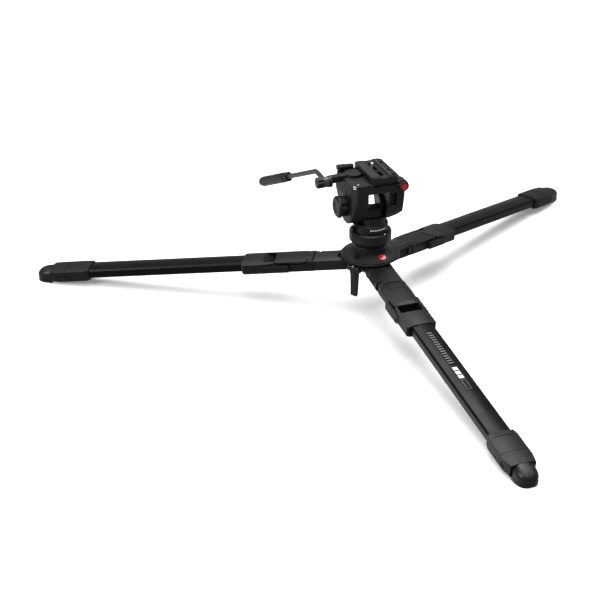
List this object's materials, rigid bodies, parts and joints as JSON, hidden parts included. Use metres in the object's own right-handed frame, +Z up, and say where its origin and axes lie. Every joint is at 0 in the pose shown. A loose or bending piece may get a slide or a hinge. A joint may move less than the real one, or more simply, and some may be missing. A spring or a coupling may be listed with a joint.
{
  "type": "video tripod with fluid head",
  "caption": "Low-set video tripod: lever-locked telescopic legs, hub with column, fluid pan-and-tilt head, sliding camera plate and pan bar.",
  "frame": {"origin": "middle of the bounding box, on the floor under the feet", "axes": "+Z up; +X to the right and +Y to the back of the head; the front leg and the head face -Y"},
  "size_m": [1.1634, 1.0122, 0.2785],
  "materials": {
    "casting": "satin black powder coat",
    "moulding": "textured black nylon",
    "leg_tube": "black anodised",
    "anodised": "black anodised, satin",
    "steel": "bright",
    "rubber": "matt black",
    "red_plastic": "gloss red",
    "vial": "clear pale green",
    "bar_tube": "grey coat"
  },
  "bodies": {
    "front_leg": {"front_leg_top": "casting", "front_clamp_sleeve": "moulding", "front_lever_pin": "steel", "front_outer_tube": "leg_tube", "front_end_collar": "moulding"},
    "front_latch": {"front_angle_latch": "moulding"},
    "front_lever": {"front_clamp_lever": "moulding"},
    "front_mid_stage": {"front_mid_tube": "leg_tube"},
    "front_lower_stage": {"front_lower_tube": "leg_tube", "front_foot_shoe": "moulding", "front_rubber_foot": "rubber"},
    "right_leg": {"right_leg_top": "casting", "right_clamp_sleeve": "moulding", "right_lever_pin": "steel", "right_outer_tube": "leg_tube", "right_end_collar": "moulding"},
    "right_latch": {"right_angle_latch": "moulding"},
    "right_lever": {"right_clamp_lever": "moulding"},
    "right_mid_stage": {"right_mid_tube": "leg_tube"},
    "right_lower_stage": {"right_lower_tube": "leg_tube", "right_foot_shoe": "moulding", "right_rubber_foot": "rubber"},
    "left_leg": {"left_leg_top": "casting", "left_clamp_sleeve": "moulding", "left_lever_pin": "steel", "left_outer_tube": "leg_tube", "left_end_collar": "moulding"},
    "left_latch": {"left_angle_latch": "moulding"},
    "left_lever": {"left_clamp_lever": "moulding"},
    "left_mid_stage": {"left_mid_tube": "leg_tube"},
    "left_lower_stage": {"left_lower_tube": "leg_tube", "left_foot_shoe": "moulding", "left_rubber_foot": "rubber"},
    "hub": {"hub_casting": "casting", "leg_pivot_bolts": "steel", "column_lever_pin": "steel", "accessory_cap": "moulding"},
    "lock_lever": {"column_lock_lever": "moulding"},
    "column": {"column_tube": "leg_tube", "quick_release_body": "casting", "head_base": "anodised"},
    "release_ring": {"quick_release_ring": "anodised"},
    "pan_knob": {"pan_lock_knob": "steel"},
    "pan_unit": {"pan_housing": "casting", "tilt_cartridge": "anodised", "tilt_trunnion": "steel", "bubble_level": "vial"},
    "cradle": {"cradle": "casting", "left_arm_cover": "moulding", "handle_bracket": "casting"},
    "tilt_knob": {"tilt_knob": "moulding"},
    "plate": {"sliding_plate": "anodised", "plate_pads": "rubber"},
    "washer": {"screw_washer": "steel"},
    "camera_screw": {"camera_screw": "steel"},
    "plate_lever": {"plate_lock_lever": "moulding"},
    "release_button": {"plate_release_button": "red_plastic"},
    "pan_bar": {"pan_bar": "bar_tube", "grip": "rubber"},
    "clamp_knob": {"clamp_knob": "moulding"}
  },
  "joints": [
    {"name": "front_leg_spread", "type": "hinge", "parent": "hub", "child": "front_leg", "pos_m": [0, 0.11662, 0.09], "axis": [1, 0, 0], "range_deg": [0, 82.86]},
    {"name": "front_latch_slide", "type": "slide", "parent": "front_leg", "child": "front_latch", "axis": [0, -0.9922, -0.1243], "range_m": [0, 0.004], "stiffness_N_per_m": 500, "springref_m": -0.003},
    {"name": "front_lever_swing", "type": "hinge", "parent": "front_leg", "child": "front_lever", "pos_m": [0, 0.04973, 0.08898], "axis": [-1, 0, 0], "range_deg": [0, 80]},
    {"name": "front_mid_slide", "type": "slide", "parent": "front_leg", "child": "front_mid_stage", "axis": [0, -0.9922, -0.1243], "range_m": [0, 0.33]},
    {"name": "front_lower_slide", "type": "slide", "parent": "front_mid_stage", "child": "front_lower_stage", "axis": [0, -0.9922, -0.1243], "range_m": [0, 0.33]},
    {"name": "right_leg_spread", "type": "hinge", "parent": "hub", "child": "right_leg", "pos_m": [0.03897, 0.18412, 0.09], "axis": [-0.5, 0.866, 0], "range_deg": [0, 82.86]},
    {"name": "right_latch_slide", "type": "slide", "parent": "right_leg", "child": "right_latch", "axis": [0.8593, 0.4961, -0.1243], "range_m": [0, 0.004], "stiffness_N_per_m": 500, "springref_m": -0.003},
    {"name": "right_lever_swing", "type": "hinge", "parent": "right_leg", "child": "right_lever", "pos_m": [0.0969, 0.21756, 0.08898], "axis": [0.5, -0.866, 0], "range_deg": [0, 80]},
    {"name": "right_mid_slide", "type": "slide", "parent": "right_leg", "child": "right_mid_stage", "axis": [0.8593, 0.4961, -0.1243], "range_m": [0, 0.33]},
    {"name": "right_lower_slide", "type": "slide", "parent": "right_mid_stage", "child": "right_lower_stage", "axis": [0.8593, 0.4961, -0.1243], "range_m": [0, 0.33]},
    {"name": "left_leg_spread", "type": "hinge", "parent": "hub", "child": "left_leg", "pos_m": [-0.03897, 0.18412, 0.09], "axis": [-0.5, -0.866, 0], "range_deg": [0, 82.86]},
    {"name": "left_latch_slide", "type": "slide", "parent": "left_leg", "child": "left_latch", "axis": [-0.8593, 0.4961, -0.1243], "range_m": [0, 0.004], "stiffness_N_per_m": 500, "springref_m": -0.003},
    {"name": "left_lever_swing", "type": "hinge", "parent": "left_leg", "child": "left_lever", "pos_m": [-0.0969, 0.21756, 0.08898], "axis": [0.5, 0.866, 0], "range_deg": [0, 80]},
    {"name": "left_mid_slide", "type": "slide", "parent": "left_leg", "child": "left_mid_stage", "axis": [-0.8593, 0.4961, -0.1243], "range_m": [0, 0.33]},
    {"name": "left_lower_slide", "type": "slide", "parent": "left_mid_stage", "child": "left_lower_stage", "axis": [-0.8593, 0.4961, -0.1243], "range_m": [0, 0.33]},
    {"name": "lock_lever_swing", "type": "hinge", "parent": "hub", "child": "lock_lever", "pos_m": [-0.0407, 0.13812, 0.091], "axis": [-0.5, 0.866, 0], "range_deg": [0, 85]},
    {"name": "column_lift", "type": "slide", "parent": "hub", "child": "column", "axis": [0, 0, 1], "range_m": [0, 0.025]},
    {"name": "release_ring_turn", "type": "hinge", "parent": "column", "child": "release_ring", "pos_m": [0, 0.16162, 0.15], "axis": [0, 0, 1], "range_deg": [0, 30]},
    {"name": "pan_knob_turn", "type": "hinge", "parent": "column", "child": "pan_knob", "pos_m": [-0.02954, 0.15641, 0.1645], "axis": [-0.9848, -0.1736, 0], "range_deg": [-180, 180]},
    {"name": "pan", "type": "hinge", "parent": "column", "child": "pan_unit", "pos_m": [0, 0.16162, 0.18], "axis": [0, 0, 1], "continuous": true},
    {"name": "tilt", "type": "hinge", "parent": "pan_unit", "child": "cradle", "pos_m": [0, 0.16162, 0.211], "axis": [1, 0, 0], "range_deg": [-40, 80]},
    {"name": "tilt_knob_turn", "type": "hinge", "parent": "cradle", "child": "tilt_knob", "pos_m": [-0.055, 0.16162, 0.211], "axis": [-1, 0, 0], "range_deg": [-180, 180]},
    {"name": "plate_slide", "type": "slide", "parent": "cradle", "child": "plate", "axis": [0, 1, 0], "range_m": [-0.025, 0.025]},
    {"name": "washer_slide", "type": "slide", "parent": "plate", "child": "washer", "axis": [0, 1, 0], "range_m": [-0.016, 0.009]},
    {"name": "camera_screw_turn", "type": "hinge", "parent": "washer", "child": "camera_screw", "pos_m": [0.0123, 0.18692, 0.27], "axis": [0, 0, 1], "continuous": true},
    {"name": "plate_lever_swing", "type": "hinge", "parent": "cradle", "child": "plate_lever", "pos_m": [-0.023, 0.20762, 0.266], "axis": [0, 0, -1], "range_deg": [0, 60]},
    {"name": "release_button_press", "type": "slide", "parent": "cradle", "child": "release_button", "axis": [0, 1, 0], "range_m": [0, 0.0025], "stiffness_N_per_m": 600, "springref_m": -0.003},
    {"name": "pan_bar_angle", "type": "hinge", "parent": "cradle", "child": "pan_bar", "pos_m": [-0.083, 0.18062, 0.256], "axis": [1, 0, 0], "range_deg": [-30, 90]},
    {"name": "clamp_knob_turn", "type": "hinge", "parent": "pan_bar", "child": "clamp_knob", "pos_m": [-0.094, 0.18062, 0.256], "axis": [-1, 0, 0], "range_deg": [-180, 180]}
  ]
}
